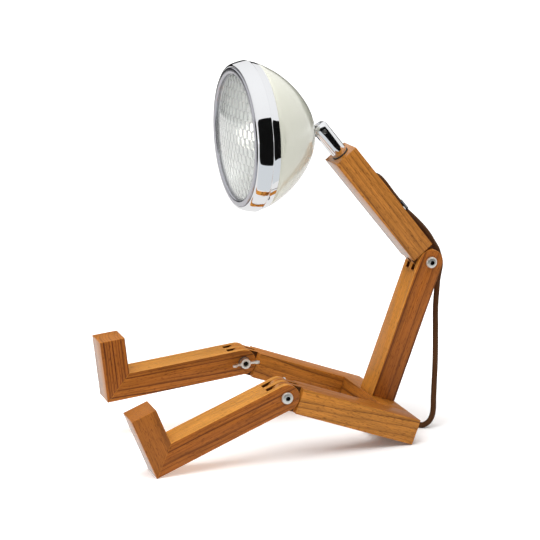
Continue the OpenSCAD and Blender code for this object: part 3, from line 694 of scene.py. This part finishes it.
# Faces narrower than THIN_FACE are arrises, which get a painted highlight, and those deeper in the piece than
# SLOT_DEPTH are in a slot, which gets painted shade (mm)
THIN_FACE = 0.8
SLOT_DEPTH = 1.2
# Radius of the fingers' round ends in mm, and how golden end grain is
END_R = 12.7
END_TOP = 0.6
# Ways that the burnished faces look, with the least cosine
BURNISHED = ((Vector((0, -0.94, -0.34)), 0.85), (Vector((0, -0.616, 0.788)), 0.98))


class LAMP_OT_wood(Operator):
    """Eases the edges of the wooden pieces and gives each its own grain"""

    bl_idname = "lamp.wood"
    bl_label = "Wood"

    def execute(self, context):
        sizes = context.scene.lamp_wood
        across = Vector((1, 0, 0))
        for node, slope, side, top, grain in LIMBS:
            if slope is None:
                x, y = Vector((0, cos_deg(SEAT_TILT), -sin_deg(SEAT_TILT))), across
            else:
                x, y = across, Vector((0, -cos_deg(slope), sin_deg(slope)))
            axes = (x, y, x.cross(y))
            tones = [self.blend_tones(sizes, *mix) for mix in (top, side)] + [sizes.dark]
            obj = eased_copy(node, sizes.arris)
            low, high = self.extent(obj, axes)
            centre = Matrix(axes).transposed() @ ((low + high) / 2)
            material = wood_material("wood_" + node, centre, axes, tones, dict(zip(GRAIN, grain)))
            self.mark_faces(obj, axes, low, high)
            settle(obj, material, node)
        straight = Matrix.Identity(3)
        tones = (sizes.golden, sizes.golden, sizes.dark)
        raw = wood_material("dowel_end", (0, 0, 0), straight, tones, {"Spacing": 0.002})
        for joint in ("pelvis", "hip", "foot"):
            paint(joint + "_dowel_left", raw)
            paint(joint + "_dowel_right", raw)
        return {"FINISHED"}

    def blend_tones(self, sizes, golden, gain):
        """Colour between russet and golden, brightened by a gain that partly paints light and shade."""
        return [min(1, gain * (r + golden * (g - r))) for r, g in zip(sizes.russet, sizes.golden)]

    def extent(self, obj, axes):
        """Corners of the piece's box along its own axes."""
        places = [[v.co.dot(axis) for axis in axes] for v in obj.data.vertices]
        return Vector(map(min, zip(*places))), Vector(map(max, zip(*places)))

    def rounded(self, polygon):
        """Whether a face lies on the round end of a finger."""
        for joint in ("left_knee", "right_knee", "waist"):
            arm = polygon.center - JOINT[joint]
            arm.x = 0
            if abs(arm.length / MM - END_R) < 0.5 and polygon.normal.dot(arm.normalized()) > 0.9:
                return True
        return False

    def mark_faces(self, obj, axes, low, high):
        """Writes top, slot shade, arris and burnish as red, green, blue and alpha of each face: the top share is
        partly painted light, the slots get painted shade and the arrises a painted highlight.
        """
        layer = obj.data.color_attributes.new("wood_face", "FLOAT_COLOR", "CORNER")
        for polygon in obj.data.polygons:
            points = [obj.data.vertices[v].co for v in polygon.vertices]
            longest = max((a - b).length for a, b in zip(points, points[1:] + points[:1]))
            arris = polygon.area / longest < THIN_FACE * MM
            places = [polygon.center.dot(axis) for axis in axes]
            across, _, depth = [min(p - l, h - p) / MM for p, l, h in zip(places, low, high)]
            at_end = abs(polygon.normal.dot(axes[1]))
            inside = across > SLOT_DEPTH and depth > SLOT_DEPTH
            slot_shade = inside and at_end < 0.999 and not arris and not self.rounded(polygon)
            facing = abs(polygon.normal.dot(axes[2]))
            top = END_TOP if at_end > 0.9 else min(max((facing - 0.6) / 0.3, 0), 1)
            burnished = any(polygon.normal.dot(way) > least for way, least in BURNISHED)
            for loop in polygon.loop_indices:
                layer.data[loop].color = (top, float(slot_shade), float(arris), float(burnished))


# ---------------------------------------------------------------- metal parts

SMALL_EDGE = 0.18 * MM
STEEL_PIECES = (
    "wingnut_knee_left", "wingnut_knee_right", "wingnut_waist", "clip_screw_left", "clip_screw_right",
    "tongue", "knuckle_pin",
)
BOLTS = {"bolt_knee_left": "left_knee", "bolt_knee_right": "right_knee", "bolt_waist": "waist"}
# Radius round a bolt's axis that holds its hexagon socket, in mm, and the colour of the painted shade in the
# socket
SOCKET_R = 2.45
SOCKET_SHADE_COLOUR = (0.015, 0.013, 0.012)


class LAMP_OT_hardware(Operator):
    """Finishes bolts, washers, wing nuts, clip screws, tongue, pin and the plug's pins"""

    bl_idname = "lamp.hardware"
    bl_label = "Hardware"

    def execute(self, context):
        colour = context.scene.lamp_metal.steel
        steel = metal_material("bright_steel", colour, 0.3, 0.06)
        for node in STEEL_PIECES:
            settle(eased_copy(node, SMALL_EDGE, 1), steel, node)
        plated = metal_material("plated_bolt", colour, 0.45, 0.05)
        tree = plated.node_tree
        # Painted shade inside the hexagon sockets of the bolts
        inside = add(tree, "ShaderNodeAttribute", attribute_name="socket").outputs["Fac"]
        base = mixed(tree, inside, tint(colour), tint(SOCKET_SHADE_COLOUR))
        feed(tree, tree.nodes["Principled BSDF"], Base_Color=base)
        for node, joint in BOLTS.items():
            bolt = eased_copy(node, SMALL_EDGE, 1)
            self.mark_socket_shade(bolt, JOINT[joint])
            settle(bolt, plated, node)
        # Washers are painted dark brown: painted shade under the wing nuts and a painted reflection of the dark
        # wood
        washer_shade_steel = metal_material("washer_steel_painted_shade", (0.2, 0.15, 0.12), 0.4, 0.05)
        for node in ("washer_knee_left", "washer_knee_right", "washer_waist"):
            settle(eased_copy(node, SMALL_EDGE, 1), washer_shade_steel, node)
        for node in ("neck_nipple", "tongue_nut", "plug_pins"):
            paint(node, steel)
        return {"FINISHED"}

    def mark_socket_shade(self, obj, centre):
        """Writes white on the faces inside the hexagon socket, which get painted shade."""
        layer = obj.data.color_attributes.new("socket", "FLOAT_COLOR", "CORNER")
        for polygon in obj.data.polygons:
            arms = [obj.data.vertices[v].co - centre for v in polygon.vertices]
            inside = float(all(math.hypot(arm.y, arm.z) < SOCKET_R * MM for arm in arms))
            for loop in polygon.loop_indices:
                layer.data[loop].color = (inside, inside, inside, 1.0)


class LAMP_OT_neck(Operator):
    """Makes the chrome neck with its fork, the cord clip and the rubber parts"""

    bl_idname = "lamp.neck"
    bl_label = "Neck"

    def execute(self, context):
        metal = context.scene.lamp_metal
        chrome = metal_material("neck_chrome", metal.chrome, metal.chrome_roughness)
        settle(eased_copy("neck_tube", 0.3 * MM), chrome, "neck_tube")
        # The clip's chrome is painted dark grey, a painted reflection of dark surroundings
        clip_dark_chrome = metal_material("clip_chrome_painted_dark", (0.22, 0.22, 0.24), 0.1)
        settle(eased_copy("cord_clip", SMALL_EDGE, 1), clip_dark_chrome, "cord_clip")
        rubber = coated_material("black_rubber", (0.03, 0.028, 0.026), 0.6, 0.0, 0.2)
        for node in ("neck_washer", "gasket", "cord_grommet"):
            paint(node, rubber)
        return {"FINISHED"}


# ---------------------------------------------------------------- head

# Closed outlines of (radius, depth behind the lip), in mm
BEZEL_OUTLINE = [
    (66.6, 1.5), (67.0, 1.42), (67.6, 1.45), (68.1, 1.7), (68.6, 2.1), (69.1, 2.7), (69.5, 3.5), (70.1, 5.1),
    (70.6, 6.7), (71.1, 8.5), (71.6, 10.7), (72.0, 12.8), (72.2, 14.2), (72.3, 14.8), (72.25, 15.1), (71.9, 15.4),
    (71.72, 15.7), (71.5, 16.6), (71.15, 18.2), (70.7, 19.8), (70.2, 21.6), (69.8, 22.95), (69.6, 23.1),
    (68.7, 23.1), (68.7, 21.6), (70.2, 17.8), (70.9, 15.6), (71.0, 15.0), (71.0, 12.8), (70.2, 9.0), (69.0, 5.6),
    (68.2, 3.6), (67.6, 2.7), (66.6, 2.7),
]
RING_OUTLINE = [
    (60.3, 3.0), (60.3, 1.4), (60.45, 0.9), (60.75, 0.5), (61.2, 0.2), (61.8, 0.05), (62.6, 0.0), (64.6, 0.0),
    (65.3, 0.1), (65.75, 0.3), (66.0, 0.6), (66.1, 0.95), (66.1, 2.7), (67.3, 2.7), (67.3, 4.2), (63.3, 4.2),
    (63.3, 3.0),
]

# Reflector in mm: rim, hole for the bulb, front and rise of the dish
DISH_R = 59
DISH_HOLE_R = 11.05
DISH_FRONT = 8.2
DISH_RISE = 36

# Vent slots of the crown in mm and degrees: distance from the axis, depth, size and where they stand
VENT_OFF = 26.5
VENT_DEPTH = 70
VENT_SIZE = (11, 3, 26)
VENT_ANGLES = (30, 150, 270)


def shell_outline():
    """Outer outline of the dome from the front edge to the crown, then the inner one back."""
    nose_r, flank_r, nose_angle = 59.2, 97.0, 32.6
    nose_depth = HEAD_L - nose_r
    flank_depth = nose_depth - (flank_r - nose_r) * cos_deg(nose_angle)
    flank_off = (flank_r - nose_r) * sin_deg(nose_angle)
    crown_r, bore_r = 7.0, 4.05

    def side(inset):
        start = math.degrees(math.asin((RIM_R + flank_off) / flank_r))
        crown = math.degrees(math.asin(crown_r / nose_r))
        flank = [(r, d) for d, r in arc(flank_depth, -flank_off, flank_r - inset, start, nose_angle, 20)]
        nose = [(r, d) for d, r in arc(nose_depth, 0, nose_r - inset, nose_angle, crown, 24)]
        rim = [(RIM_R - inset, SHELL_FRONT), (RIM_R - inset, BEZEL_L)]
        return rim + flank + nose[1:] + [(bore_r, HEAD_L - inset)]

    return side(0) + side(SHELL_T)[::-1]


class LAMP_OT_head(Operator):
    """Makes the shell, bezel, ring and reflector, and finishes lampholder and bulb"""

    bl_idname = "lamp.head"
    bl_label = "Head"

    def execute(self, context):
        metal, head = context.scene.lamp_metal, context.scene.lamp_head
        enamel = coated_material("ivory_enamel", head.enamel, 0.16, 0.6)
        shell = turned("shell_enamelled", shell_outline())
        for angle in VENT_ANGLES:
            deselect()
            bpy.ops.mesh.primitive_cube_add(size=1, location=(VENT_OFF * MM, 0, VENT_DEPTH * MM))
            slot = context.object
            slot.scale = [length * MM for length in VENT_SIZE]
            bpy.ops.object.transform_apply(location=True, rotation=False, scale=True)
            slot.data.transform(head_matrix() @ Matrix.Rotation(math.radians(-angle), 4, "Z"))
            apply_modifier(shell, "BOOLEAN", operation="DIFFERENCE", object=slot, solver="EXACT")
            bpy.data.objects.remove(slot)
        smooth(shell, 28)
        settle(shell, enamel, "shell")

        chrome = metal_material("bezel_chrome", metal.chrome, metal.chrome_roughness)
        settle(turned("bezel_chromed", BEZEL_OUTLINE), chrome, "bezel")
        satin = metal_material("ring_satin", (0.52, 0.52, 0.56), 0.22)
        settle(turned("lens_ring_chromed", RING_OUTLINE), satin, "lens_ring")

        mirror = metal_material("reflector_mirror", (0.97, 0.97, 0.96), 0.34)
        dish = [DISH_HOLE_R + (DISH_R - DISH_HOLE_R) * i / 30 for i in range(31)]
        dish = [(r, DISH_FRONT + DISH_RISE * (1 - (r / DISH_R) ** 2)) for r in dish]
        back = [(r + 0.2, d + 0.8) for r, d in dish[::-1]]
        flange = [(68.2, DISH_FRONT), (68.2, 9.4), (59.4, 9.4)]
        outline = dish + flange + back[1:-1] + [(11.85, 50.9), (DISH_HOLE_R, 50.9)]
        settle(turned("reflector_spun", outline, 128), mirror, "reflector")

        paint("lampholder", coated_material("glazed_ceramic", (0.82, 0.80, 0.75), 0.2, 0.3))
        glow, tree, shader = new_material(
            "bulb_frosted",
            Roughness=0.4,
            Base_Color=(0.95, 0.93, 0.88, 1),
            Emission_Color=(1.0, 0.94, 0.88, 1),
            Emission_Strength=1.5,
        )
        frost = use_group(tree, "Handled", {"Vector": object_coords(tree), "Size": 300.0})
        feed(tree, shader, Roughness=plus(tree, 0.35, times(tree, frost["Smudge"], 0.1)))
        paint("bulb", glow)
        return {"FINISHED"}


def dome_depth(radius):
    """Depth of the domed front of the glass at a radius, in mm."""
    curve = (GLASS_R ** 2 + GLASS_RISE ** 2) / (2 * GLASS_RISE)
    return GLASS_SEAT - GLASS_RISE + curve - np.sqrt(curve ** 2 - np.minimum(radius, GLASS_EDGE_R) ** 2)


def places_mm(obj):
    """Places of the vertices as rows, in mm."""
    flat = np.empty(len(obj.data.vertices) * 3)
    obj.data.vertices.foreach_get("co", flat)
    return flat.reshape(-1, 3) / MM


class LAMP_OT_glass(Operator):
    """Makes the pressed glass with staggered rows of upright flutes on its back"""

    bl_idname = "lamp.glass"
    bl_label = "Glass"

    def execute(self, context):
        head = context.scene.lamp_head
        step = FLUTE_W / 12
        count = 2 * int(GLASS_EDGE_R / step) + 2
        sheets = []
        for side in ("front", "back"):
            deselect()
            bpy.ops.mesh.primitive_grid_add(x_subdivisions=count, y_subdivisions=count, size=count * step * MM)
            obj = context.object
            co = places_mm(obj)
            self.delete(obj, np.hypot(co[:, 0], co[:, 1]) > GLASS_EDGE_R - 0.2)
            co = places_mm(obj)
            self.round_edge(obj, co)
            far = np.hypot(co[:, 0], co[:, 1])
            co[:, 2] = self.front(far) if side == "front" else self.back(co, far, head.flute / MM)
            obj.data.vertices.foreach_set("co", (co * MM).ravel())
            sheets.append(obj)
        front, back = sheets
        edit(front, lambda: bpy.ops.mesh.flip_normals())
        activate(front)
        back.select_set(True)
        bpy.ops.object.join()
        activate(front)
        bpy.ops.object.mode_set(mode="EDIT")
        bpy.ops.mesh.select_mode(type="EDGE")
        bpy.ops.mesh.select_all(action="DESELECT")
        bpy.ops.mesh.select_non_manifold()
        bpy.ops.mesh.bridge_edge_loops()
        bpy.ops.mesh.select_all(action="SELECT")
        bpy.ops.mesh.normals_make_consistent(inside=False)
        bpy.ops.object.mode_set(mode="OBJECT")
        front.name = "lens_pressed_glass"
        front.data.transform(head_matrix())
        smooth(front, 40)
        material, tree, shader = new_material("pressed_glass", Roughness=0.02, IOR=1.5, Transmission_Weight=0.8)
        handled = use_group(tree, "Handled", {"Vector": object_coords(tree), "Size": 60.0})
        feed(tree, shader, Roughness=plus(tree, 0.06, times(tree, handled["Dust"], 0.05)))
        feed(tree, shader, Base_Color=mixed(tree, handled["Smudge"], tint(head.glass), tint(head.glass, 0.98)))
        settle(front, material, "lens")
        return {"FINISHED"}

    def delete(self, obj, lost):
        """Deletes the vertices that the mask names."""
        for items in (obj.data.edges, obj.data.polygons):
            items.foreach_set("select", np.zeros(len(items), bool))
        obj.data.vertices.foreach_set("select", lost)
        activate(obj)
        bpy.ops.object.mode_set(mode="EDIT")
        bpy.ops.mesh.select_mode(type="VERT")
        bpy.ops.mesh.delete(type="VERT")
        bpy.ops.object.mode_set(mode="OBJECT")

    def round_edge(self, obj, co):
        """Moves the vertices of the open edge out onto the rim."""
        shared = {}
        for polygon in obj.data.polygons:
            for key in polygon.edge_keys:
                shared[key] = shared.get(key, 0) + 1
        edge = sorted({v for key, n in shared.items() if n == 1 for v in key})
        far = np.hypot(co[edge, 0], co[edge, 1])
        co[edge, :2] *= (GLASS_EDGE_R / far)[:, None]

    def front(self, far):
        return np.minimum(dome_depth(far), GLASS_SEAT)

    def back(self, co, far, height):
        """Depth of the back: flutes half a width apart from row to row, which fade out before the flat rim."""
        row = np.floor(co[:, 1] / FLUTE_ROW + 0.5)
        across = co[:, 0] / FLUTE_W + 0.5 * (row % 2)
        u = (across - np.floor(across)) * 2 - 1
        v = np.abs(co[:, 1] / FLUTE_ROW - row) * 2
        fade = np.clip((GLASS_R - 2 - far) / 6, 0, 1)
        bulge = np.sqrt(np.clip(1 - (0.97 * u) ** 2, 0, 1)) * (1 - 0.25 * v ** 6)
        depth = dome_depth(far) + GLASS_T + bulge * height * fade
        depth[far > GLASS_R - 1.8] = GLASS_SEAT + GLASS_EDGE_T
        return depth


# ---------------------------------------------------------------- plug and switch


class LAMP_OT_plug(Operator):
    """Finishes the plug and the rocker switch"""

    bl_idname = "lamp.plug"
    bl_label = "Plug and switch"

    def execute(self, context):
        black = coated_material("moulded_black", (0.022, 0.02, 0.018), 0.42, 0.0, 0.35)
        rocker = coated_material("rocker_black", (0.045, 0.04, 0.036), 0.3, 0.0, 0.1)
        paint("plug_body", black)
        paint("switch_body", black)
        paint("switch_rocker", rocker)
        return {"FINISHED"}


# ---------------------------------------------------------------- stage

# The floor glows, a painted light that grows with the distance from the lamp over a reach in metres; it is nil
# round the seat, so that the floor there stays darker as painted shade
GLOW_FROM = (0.04, 0.1, 0)
GLOW_REACH = 3.0
GLOW = [(0.02, 0.0), (0.08, 0.26), (0.35, 0.32), (0.8, 0.72)]
# Strength of the world: for the camera, and for reflections at the horizon with its rise to the zenith
BACKDROP = 1.05
MIRRORED, MIRRORED_RISE = 0.84, 0.14

# Softbox: place and side in metres, tilt in degrees
SOFTBOX_AT = (0.1, -0.35, 1.35)
SOFTBOX_SIDE = 1.5
SOFTBOX_TILT = (-12, 4, 0)

# Cards that the metal mirrors, in metres: upright black ones, and papers on the floor with their colours
BLACK = (0.004, 0.004, 0.004)
BLACK_CARDS = (
    ("card_left", (0.454, 0.18, 0.30), (0.60, 1.9)),
    ("card_back", (-2.2, 0.8, 0.45), (0.86, 5.0)),
)
PAPERS = (
    ("card_floor", (0.68, 0.71, 0.73), (1.0, 0, 0.002), (1.8, 4.0)),
    ("card_white", (0.86, 0.85, 0.84), (-1.0, 0, 0.001), (6.0, 6.0)),
)


class LAMP_OT_stage(Operator):
    """Makes the floor, the cards that the metal mirrors, the world and the softbox"""

    bl_idname = "lamp.stage"
    bl_label = "Stage"

    def execute(self, context):
        stage = context.scene.lamp_stage
        context.scene.view_settings.view_transform = "Standard"
        deselect()
        bpy.ops.mesh.primitive_plane_add(size=24, location=(0, 0, 0))
        floor = context.object
        floor.name = "floor"
        material, tree, shader = new_material(
            "floor_paper", Roughness=0.9, Base_Color=tint(stage.floor), Emission_Strength=1.0
        )
        # Painted light: the floor's glow, nil round the seat and rising outwards
        away = add(tree, "ShaderNodeVectorMath", {0: object_coords(tree), 1: GLOW_FROM}, operation="DISTANCE")
        away = calc(tree, "DIVIDE", away.outputs["Value"], GLOW_REACH)
        feed(tree, shader, Emission_Color=ramp(tree, away, GLOW))
        floor.data.materials.append(material)

        black = self.matt("black_card", Base_Color=tint(BLACK))
        for name, place, size in BLACK_CARDS:
            self.card(name, black, place, size, math.radians(90), False)
        for name, colour, place, size in PAPERS:
            paper = self.matt(name, Base_Color=(0, 0, 0, 1), Emission_Color=tint(colour), Emission_Strength=1.0)
            self.card(name, paper, place, size, 0, True)

        world = bpy.data.worlds.new("studio")
        world.use_nodes = True
        tree = world.node_tree
        path = add(tree, "ShaderNodeLightPath").outputs
        ways = add(tree, "ShaderNodeTexCoord").outputs["Generated"]
        height = add(tree, "ShaderNodeSeparateXYZ", {0: ways}).outputs[2]
        strength = plus(tree, times(tree, height, MIRRORED_RISE), MIRRORED)
        for ray, value in (("Is Diffuse Ray", stage.dome), ("Is Camera Ray", BACKDROP)):
            shares = {0: path[ray], 2: strength, 3: value}
            strength = add(tree, "ShaderNodeMix", shares, data_type="FLOAT").outputs[0]
        background = tree.nodes["Background"]
        background.inputs["Color"].default_value = (1, 1, 1, 1)
        tree.links.new(strength, background.inputs["Strength"])
        context.scene.world = world

        deselect()
        bpy.ops.object.light_add(type="AREA", location=SOFTBOX_AT)
        light = context.object
        light.name = "softbox"
        light.data.shape = "RECTANGLE"
        light.data.size = light.data.size_y = SOFTBOX_SIDE
        light.data.energy = stage.key
        light.visible_glossy = False
        light.rotation_euler = [math.radians(angle) for angle in SOFTBOX_TILT]
        return {"FINISHED"}

    def matt(self, name, **values):
        return new_material(name, Roughness=0.9, Specular_IOR_Level=0.0, **values)[0]

    def card(self, name, material, place, size, turn, through_glass):
        """Card that shows in metal, and in glass where asked, but not to the camera."""
        bpy.ops.mesh.primitive_plane_add(size=1, location=place, rotation=(0, turn, 0))
        panel = bpy.context.object
        panel.name = name
        panel.scale = (*size, 1)
        panel.data.materials.append(material)
        panel.visible_camera = panel.visible_diffuse = panel.visible_shadow = False
        panel.visible_transmission = through_glass


# ---------------------------------------------------------------- add-on

GROUPS = {
    "lamp_wood": LampWood,
    "lamp_metal": LampMetal,
    "lamp_head": LampHead,
    "lamp_cord": LampCord,
    "lamp_stage": LampStage,
}
STEPS = [
    LAMP_OT_camera, LAMP_OT_cord, LAMP_OT_wood, LAMP_OT_hardware, LAMP_OT_neck, LAMP_OT_head, LAMP_OT_glass,
    LAMP_OT_plug, LAMP_OT_stage,
]


class LAMP_PT_panel(Panel):
    """Sizes, colours and steps of the lamp"""

    bl_label = "Robot desk lamp"
    bl_idname = "LAMP_PT_panel"
    bl_space_type = "VIEW_3D"
    bl_region_type = "UI"
    bl_category = "Lamp"

    def draw(self, context):
        for name, group in GROUPS.items():
            box = self.layout.box()
            for key in group.__annotations__:
                box.prop(getattr(context.scene, name), key)
        for step in STEPS:
            self.layout.operator(step.bl_idname)


def register():
    for cls in [*GROUPS.values(), *STEPS, LAMP_PT_panel]:
        bpy.utils.register_class(cls)
    for name, group in GROUPS.items():
        setattr(bpy.types.Scene, name, PointerProperty(type=group))


def unregister():
    for name in GROUPS:
        delattr(bpy.types.Scene, name)
    for cls in reversed([*GROUPS.values(), *STEPS, LAMP_PT_panel]):
        bpy.utils.unregister_class(cls)


def main():
    register()
    build_groups()
    bpy.ops.lamp.camera()
    bpy.ops.lamp.cord()
    bpy.ops.lamp.wood()
    bpy.ops.lamp.hardware()
    bpy.ops.lamp.neck()
    bpy.ops.lamp.head()
    bpy.ops.lamp.glass()
    bpy.ops.lamp.plug()
    bpy.ops.lamp.stage()


if __name__ == "__main__":
    main()
